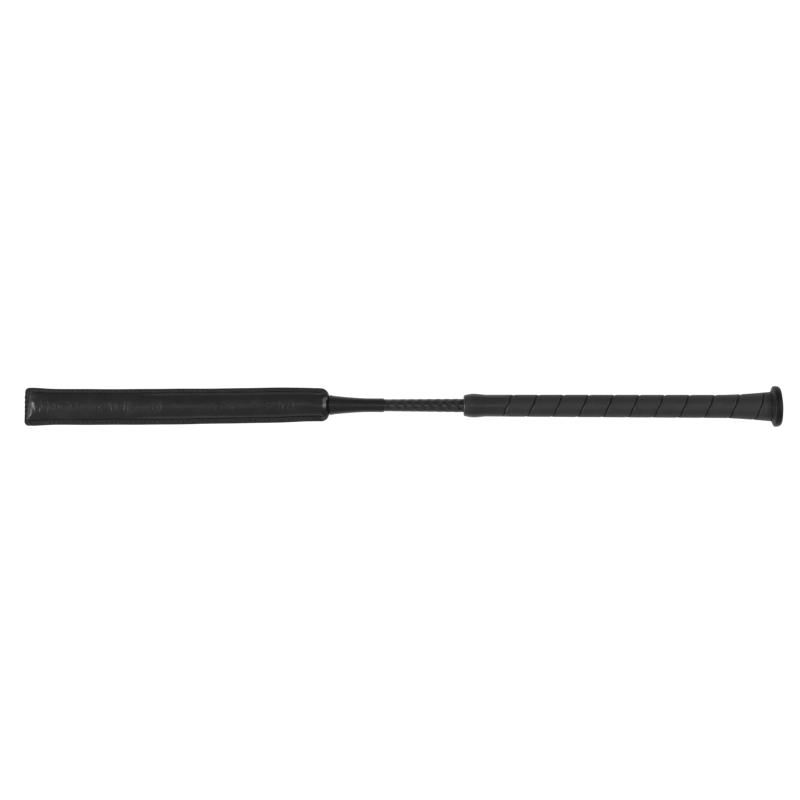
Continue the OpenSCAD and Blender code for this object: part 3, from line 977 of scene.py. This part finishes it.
SWELLS = [(0.16, 26), (0.07, 7)]                    # height and length
PUCKER, PUCKER_AT, PUCKER_WIDTH = 0.16, 0.12, 0.1   # between stitches, where the padding begins
VALLEYS, VALLEY_WIDTH = (0.35, 0.12), 0.035         # along the lower and the upper seam
BORDER_BULGE, EDGE_DROP, EDGE_ROUND = 0.28, 0.4, 0.5
GATHERS, GATHER_HEIGHT = 9, 0.38                    # folds of the neck


def leather_surface(seed):
    """Grid, height and painted seam shade of one leather cover, over the middle plane."""
    columns = pad_columns()
    y = pad_grid(columns)
    x = np.repeat(columns[:, None], y.shape[1], 1)
    wide = half_width(x)
    fill = pad_fill(x, y)
    height = leather_seat(x, y)
    height += simulated_swell(columns, seed)
    skin = smooth(0, 0.35, fill)
    lower = y < 0

    for i, (swell, length) in enumerate(SWELLS):
        height += swell * soft_noise(x, y, seed + i, length) * skin
    dents = np.zeros_like(x)
    for at_x, at_y, slant, half, width, depth in wrinkles(seed + 2):
        near = ((x - at_x - slant * (y - at_y)) / width) ** 2 + ((y - at_y) / half) ** 4
        dents += depth * np.exp(-near)
    height -= DEEPEST_CREASE * np.tanh(dents / DEEPEST_CREASE) * skin
    pucker = 0.5 + 0.5 * np.cos(TAU * (x - tip_x) / STITCH_PITCH)
    height -= PUCKER * pucker * np.exp(-((fill - PUCKER_AT) / PUCKER_WIDTH) ** 2)
    valley = np.exp(-(fill / VALLEY_WIDTH) ** 2)
    height -= np.where(lower, *VALLEYS) * valley * (np.abs(y) < wide - 1.5)
    border = np.where(lower, BORDER_BOTTOM, BORDER_TOP)
    on_border = np.clip((wide - np.abs(y)) / border, 0, 1)
    bulge = np.sin(math.pi * on_border) ** 2 * smooth(neck_x - 12, neck_x - 20, x)
    height += BORDER_BULGE * bulge
    edge = np.minimum(wide - np.abs(y), x - tip_x)
    height -= EDGE_DROP * np.clip(1 - edge / EDGE_ROUND, 0, 1) ** 2 * (x < neck_x - 1)

    at_neck = smooth(neck_x - 6.2, neck_x - 0.4, x)   # it takes the neck's round shape from here on
    v = np.clip(y / wide, -1, 1)
    cone = neck_radius(np.maximum(x, neck_x)) * np.sqrt(1 - v ** 2)
    height = mix(height, np.maximum(cone, 0.02), at_neck)
    gather = smooth(neck_x - 30, neck_x - 3, x) * smooth(neck_x + 6, neck_x - 1, x)
    folds = np.cos(GATHERS * np.arcsin(v) + 0.8 * np.sin(x / 4)) * (0.35 + 0.65 * np.abs(v))
    height += GATHER_HEIGHT * gather * folds * np.sqrt(np.clip(1 - v ** 2, 0, 1)) * skin

    askew = TIP_ASKEW * across_pad(y) * smooth(tip_x + 14, tip_x, x)
    # painted shade: a mask along each seam, for the leather's colour and reflection
    shaded_seam = np.exp(-((wide - border - np.abs(y)) / SEAM_WIDTH) ** 2)
    shaded_seam *= smooth(neck_x - 8, neck_x - 16, x)
    shaded_seam *= np.where(lower, *SEAM_SHADE)
    return x + askew, y + centre_line(x), height, shaded_seam


SIM_STEP = 1.1         # distance between the simulated sheet's points along the pad
SIM_SCALE = 0.02       # the sheet is simulated at 20 times its size, where the solver is steady
SIM_FRAMES = 20
SWELL_CAP = 0.7        # how far the simulated leather may move from its seat
CLOTH = dict(          # where it creases, the leather is 9% longer than its seat
    quality=6, mass=0.3, tension_stiffness=25, compression_stiffness=25, shear_stiffness=10,
    bending_stiffness=0.1, vertex_group_mass="held", vertex_group_shrink="slack", shrink_min=0.0,
    shrink_max=-0.09, use_pressure=True, uniform_pressure_force=1.2,
)


def cloth_sheet(x, y, z, held, slack):
    """Settles a sheet of leather over its padding by cloth simulation and gives its new heights."""
    rows, columns = x.shape
    mesh = bpy.data.meshes.new("sheet")
    points = np.stack([x, y, z], -1).reshape(-1, 3) * SIM_SCALE
    mesh.from_pydata(points.tolist(), [], grid_faces(rows, columns))
    sheet = add_object("sheet", mesh)
    for group_name, weights in (("held", held), ("slack", slack)):
        group = sheet.vertex_groups.new(name=group_name)
        for i, weight in enumerate(weights.ravel()):
            group.add([i], float(weight), "REPLACE")
    cloth = sheet.modifiers.new("cloth", "CLOTH")
    for key, value in CLOTH.items():
        setattr(cloth.settings, key, value)
    cloth.settings.effector_weights.gravity = 0
    cloth.point_cache.frame_start, cloth.point_cache.frame_end = 1, SIM_FRAMES
    for frame_number in range(1, SIM_FRAMES + 1):
        bpy.context.scene.frame_set(frame_number)
    evaluated = sheet.evaluated_get(bpy.context.evaluated_depsgraph_get())
    found = np.empty(len(points) * 3, np.float32)
    evaluated.to_mesh().vertices.foreach_get("co", found)
    evaluated.to_mesh_clear()
    bpy.data.objects.remove(sheet)
    bpy.data.meshes.remove(mesh)
    bpy.context.scene.frame_set(1)
    return found.reshape(rows, columns, 3)[:, :, 2] / SIM_SCALE


def simulated_swell(columns, seed):
    """How far the leather stands off its smooth seat after the simulation, on the fine grid."""
    coarse = np.append(np.arange(tip_x, neck_x - 1, SIM_STEP), neck_x)
    y = pad_grid(coarse)[:, ::2]
    x = np.repeat(coarse[:, None], y.shape[1], 1)
    fill = pad_fill(x, y)
    start = leather_seat(x, y) + 0.04 * soft_noise(x, y, seed, 5)
    held = np.where((fill < 0.03) | (x > neck_x - 5), 1.0, 0.0)
    slack = np.clip(sum(
        smooth(low - 3, low, x - tip_x) * smooth(high + 3, high, x - tip_x) for low, high in CREASED
    ), 0, 1)
    swell = np.clip(cloth_sheet(x, y, start, held, slack) - start, -SWELL_CAP, SWELL_CAP)
    along = np.stack([np.interp(columns, coarse, swell[:, k]) for k in range(swell.shape[1])], 1)
    fine = np.arange(y.shape[1] * 2 - 1)
    return np.stack([np.interp(fine, fine[::2], row) for row in along])


THINNEST, EDGE_HEIGHT = 0.3, 0.4   # a leather edge lower than this reaches the middle plane


def make_leather(name, seed, face):
    """A leather cover with its real thickness. face is 1 on the front and -1 on the back."""
    x, y, height, shaded_seam = leather_surface(seed)
    slopes = (
        np.gradient(height, axis=axis) / np.maximum(np.gradient(along, axis=axis), 0.05)
        for axis, along in ((0, x), (1, y))
    )
    steep = np.sqrt(1 + np.clip(sum(slope ** 2 for slope in slopes), 0, 3))
    under = np.minimum(np.clip(height - LEATHER * steep, 0.03, None), height - THINNEST)
    under = np.where(height < EDGE_HEIGHT, np.minimum(0.02, height - 0.05), under)
    piece = slab(name, x, y, face * height, face * under, crease=50)
    # the painted seam shade, for the leather material
    add_values(piece, "shaded_seam", np.tile(shaded_seam.ravel(), 2))
    return piece


STITCH_RISE, STITCH_DIVE, STITCH_SLANT = 0.3, 0.32, 0.12


def stitch_tube(x, y, rise, face):
    z = axis_z + face * (LEATHER + rise)
    path = np.stack([x, y, z], 1)
    up = np.tile([0.0, 0.0, float(face)], (len(path), 1))
    return tube_points(path, up, STITCH_THREAD, STITCH_THREAD * 0.8, 8, taper=1)


def make_stitches():
    """Each stitch is a short arc of thread that dives into the leather at both ends."""
    tubes = []
    t = np.linspace(-1, 1, 7)
    rise = STITCH_RISE * (1 - t ** 2) - STITCH_DIVE * t ** 4
    reach = t * STITCH_LENGTH / 2
    end = neck_x - SHOULDER_R - 2
    count = int((pad_half - TIP_R - 1) / STITCH_PITCH)
    for face in (1, -1):
        for side, border in ((-1, BORDER_BOTTOM), (1, BORDER_TOP)):
            for middle in np.arange(tip_x + TIP_BORDER + 3, end, STITCH_PITCH):
                x = middle + reach
                y = side * (half_width(x) - border * 0.5) + centre_line(x) + side * t * STITCH_SLANT
                tubes.append(stitch_tube(x, y, rise, face))
        for i in range(-count, count + 1):
            y = i * STITCH_PITCH + reach + float(centre_line(tip_x))
            x = np.full_like(y, tip_x + TIP_BORDER * 0.55) + t * STITCH_SLANT
            tubes.append(stitch_tube(x, y, rise, face))
    return add_tubes("edge_stitches", tubes)


FERRULE_MIDDLE, FERRULE_HALF, FERRULE_WALL = 7, 7.5, 0.85   # from the fold, with room at its ends
TONGUE_SLOT = 2.7
TONGUE_ROWS = (TONGUE_SLOT, 4.0, 6.0)


def make_foam(name, face):
    """Foam that fills one cover and leaves room for the rod, its ferrule and the tongue."""
    columns = np.arange(tip_x + TIP_BORDER + TIP_SKEW + 2.5, neck_x - 3, 1.5)
    share = np.linspace(-1, 1, 25)
    x = np.repeat(columns[:, None], len(share), 1)
    y = (half_width(x) - np.where(share < 0, BORDER_BOTTOM, BORDER_TOP) - LEATHER) * share
    top = np.clip((crown_height(x) - LEATHER) * pad_rise(x, y) - LEATHER * 0.35, 1.4, None)
    ferrule = np.where(np.abs(x - fold_x - FERRULE_MIDDLE) < FERRULE_HALF, FERRULE_WALL, 0)
    room = np.where(x > rod_tip_x, rod_radius(x), 0) + ferrule + 0.1
    hollow = np.sqrt(np.clip(room ** 2 - y ** 2, 0, None))
    over_tongue = (x < tongue_end_x + 1) & (np.abs(y) < tongue_wide + 0.5)
    tongue = np.where(over_tongue, tongue_half + 0.05, 0.05)
    under = np.minimum(np.maximum(hollow, tongue), top - 0.3)
    return slab(name, x, y + centre_line(x), face * top, face * under)


def make_tongue():
    """Stiff leather strip that ends in two prongs beside the rod."""
    prongs = np.arange(fold_x, tongue_end_x, 2.0)
    xs = [*np.arange(tongue_tip_x, fold_x, 2.0), *prongs, tongue_end_x]
    half = (*TONGUE_ROWS, tongue_wide)
    ys = [*(-y for y in reversed(half)), 0, *half]
    points, index, faces = [], {}, []
    for level in (-tongue_half, tongue_half):
        for i, x in enumerate(xs):
            for k, y in enumerate(ys):
                index[level > 0, i, k] = len(points)
                points.append((x, y + float(centre_line(x)), axis_z + level))
    kept = {
        (i, k) for i in range(len(xs) - 1) for k in range(len(ys) - 1)
        if not (xs[i] >= fold_x - 0.01 and abs(ys[k] + ys[k + 1]) / 2 < TONGUE_SLOT)
    }
    for i, k in kept:
        corners = [(i, k), (i + 1, k), (i + 1, k + 1), (i, k + 1)]
        beside = [(i, k - 1), (i + 1, k), (i, k + 1), (i - 1, k)]
        for level in (True, False):
            faces.append(tuple(index[level, a, b] for a, b in corners))
        for a, b, neighbour in zip(corners, corners[1:] + corners[:1], beside):
            if neighbour not in kept:
                edge = ((False, a), (False, b), (True, b), (True, a))
                faces.append(tuple(index[level, *corner] for level, corner in edge))
    used, faces = used_only(faces)
    return add_mesh("stiff_tongue", [points[i] for i in used], faces)


black_leather = leather("black_leather", (0.015, 0.015, 0.0155))
cushion_foam = plain(
    "cushion_foam", (0.75, 0.71, 0.55), 0.8, ((0.2, 0.2, 0.2), 3), 0.3, pores=1.3,
    Roughness=0.95, Subsurface_Weight=0.1,
)
stitch_nodes = ["pad_edge_stitching", "flap_edge_stitching"]
for side, seed, face in (("front", 11, 1), ("back", 47, -1)):
    for piece, material, slot_name, kind in (
        (make_leather(f"leather_{side}", seed, face), black_leather, "leather_black", "leather"),
        (make_foam(f"foam_{side}", face), cushion_foam, "foam", "foam"),
    ):
        cad_names = [f"{part_name}_{side}_{kind}" for part_name in ("pad", "flap")]
        finish_piece(piece, material, cad_names, bend_flap)
finish_piece(make_stitches(), black_thread, stitch_nodes, bend_flap)
tongue_hide = leather("tongue_hide", (0.25, 0.13, 0.06))
finish_piece(make_tongue(), tongue_hide, ["flap_tongue"], bend_flap)


# ---- Carried-over CAD nodes ----

CARRIED = {   # the arguments of plain() for each
    "handle_core": (("core_plastic", (0.08, 0.08, 0.09), 0.8, *FLOW_MARKS), {"rough": 0.38}),
    "cap_plug": (("plug_plastic", (0.09, 0.1, 0.11), 0.8, *FLOW_MARKS), {"rough": 0.33}),
    "grip_tape": (("grip_tape_paper", (0.75, 0.74, 0.7), 0.82, *CREPE), {"Roughness": 0.9}),
    "upper_braid_binding": (
        ("binding_thread", (0.02, 0.02, 0.021), 0.6, ((2.5, 2.5, 2.5), 5, 0.7), 0.08),
        {"Roughness": 0.5},
    ),
    "rod_tip_ferrule": (
        ("ferrule_brass", (0.7, 0.52, 0.2), 0.7, ((0.4, 0.4, 0.4), 3), 0.01, ((0.15, 4, 4), 4)),
        {"rough": 0.22, "Metallic": 1.0},
    ),
}
for name, (looks, more) in CARRIED.items():
    cover(frame["nodes"][name], plain(*looks, carried=True, **more))


# ---- Floor, light and camera ----

FLOOR_WHITE, FLOOR_WASH = 1.12, 0.88   # the washed-out white that the camera sees
FLOOR_Z_M, FLOOR_HALF_M = -0.14, 4.0   # clear of the tip with both joints bent all the way down
WORLD_LIGHT, WORLD_SEEN = 0.16, 1.0    # what falls on the object, and what shows behind it

LIGHTS = [   # name, place and size in metres, power
    ("left_softbox", (-1.57, -0.3, 0.85), (1.0, 0.3), 39),
    ("right_softbox", (1.65, 0.1, 1.1), (0.5, 0.4), 20),
    ("overhead_strip", (0, 0.05, 2.4), (1.8, 0.12), 4.3),
]
LENS, SENSOR = 100.0, 36.0
FRAME_WIDTH_M = 0.6695
CAMERA_X_M, CAMERA_Y_M, CAMERA_ROLL = -0.00335, 0.00445, math.radians(0.2)


def make_floor():
    """A pale sheet below the crop, see-through from below."""
    half = FLOOR_HALF_M
    corners = [(-half, -half), (half, -half), (half, half), (-half, half)]
    mesh = bpy.data.meshes.new("floor")
    mesh.from_pydata([(*corner, FLOOR_Z_M) for corner in corners], [], [range(4)])
    floor = add_object("floor", mesh)
    material, tree, shader = start_material(
        "studio_floor", Base_Color=(0.93, 0.93, 0.93, 1), Roughness=0.9, Specular_IOR_Level=0.1
    )
    white = node(tree, "Emission", {"Strength": FLOOR_WHITE}).outputs[0]
    camera_ray = node(tree, "LightPath").outputs["Is Camera Ray"]
    seen = calc(tree, "MULTIPLY", camera_ray, FLOOR_WASH)
    washed = node(tree, "MixShader", {0: seen, 1: shader.outputs[0], 2: white}).outputs[0]
    below = node(tree, "NewGeometry").outputs["Backfacing"]
    clear = node(tree, "BsdfTransparent").outputs[0]
    surface = node(tree, "MixShader", {0: below, 1: washed, 2: clear}).outputs[0]
    set_input(tree.nodes["Material Output"], "Surface", surface)
    cover(floor, material)


def area_light(name, place_m, size_m, power):
    data = bpy.data.lights.new(name, "AREA")
    data.shape = "RECTANGLE"
    data.size, data.size_y = size_m
    data.energy = power
    lamp = add_object(name, data)
    lamp.location = place_m
    aim = Vector((0, 0, 0)) - Vector(place_m)
    lamp.rotation_euler = aim.to_track_quat("-Z", "Y").to_euler()


def make_world():
    """An even pale studio, brighter where it is seen behind the object than as light."""
    world = bpy.data.worlds.new("studio")
    bpy.context.scene.world = world
    world.use_nodes = True
    tree = world.node_tree
    background = tree.nodes["Background"]
    background.inputs["Color"].default_value = (1, 1, 1, 1)
    camera_ray = node(tree, "LightPath").outputs["Is Camera Ray"]
    strength = remap(tree, camera_ray, 0, 1, WORLD_LIGHT, WORLD_SEEN)
    set_input(background, "Strength", strength)


def make_camera():
    """Straight above the crop and square to the padded end's face."""
    data = bpy.data.cameras.new("camera")
    data.lens, data.sensor_width = LENS, SENSOR
    data.clip_start, data.clip_end = 0.01, 50
    camera = add_object("camera", data)
    camera.location = (CAMERA_X_M, CAMERA_Y_M, axis_z * MM + FRAME_WIDTH_M * LENS / SENSOR)
    camera.rotation_euler = (0, 0, CAMERA_ROLL)
    bpy.context.scene.camera = camera


make_floor()
make_world()
for light in LIGHTS:
    area_light(*light)
make_camera()
bpy.context.scene.view_settings.view_transform = "Standard"
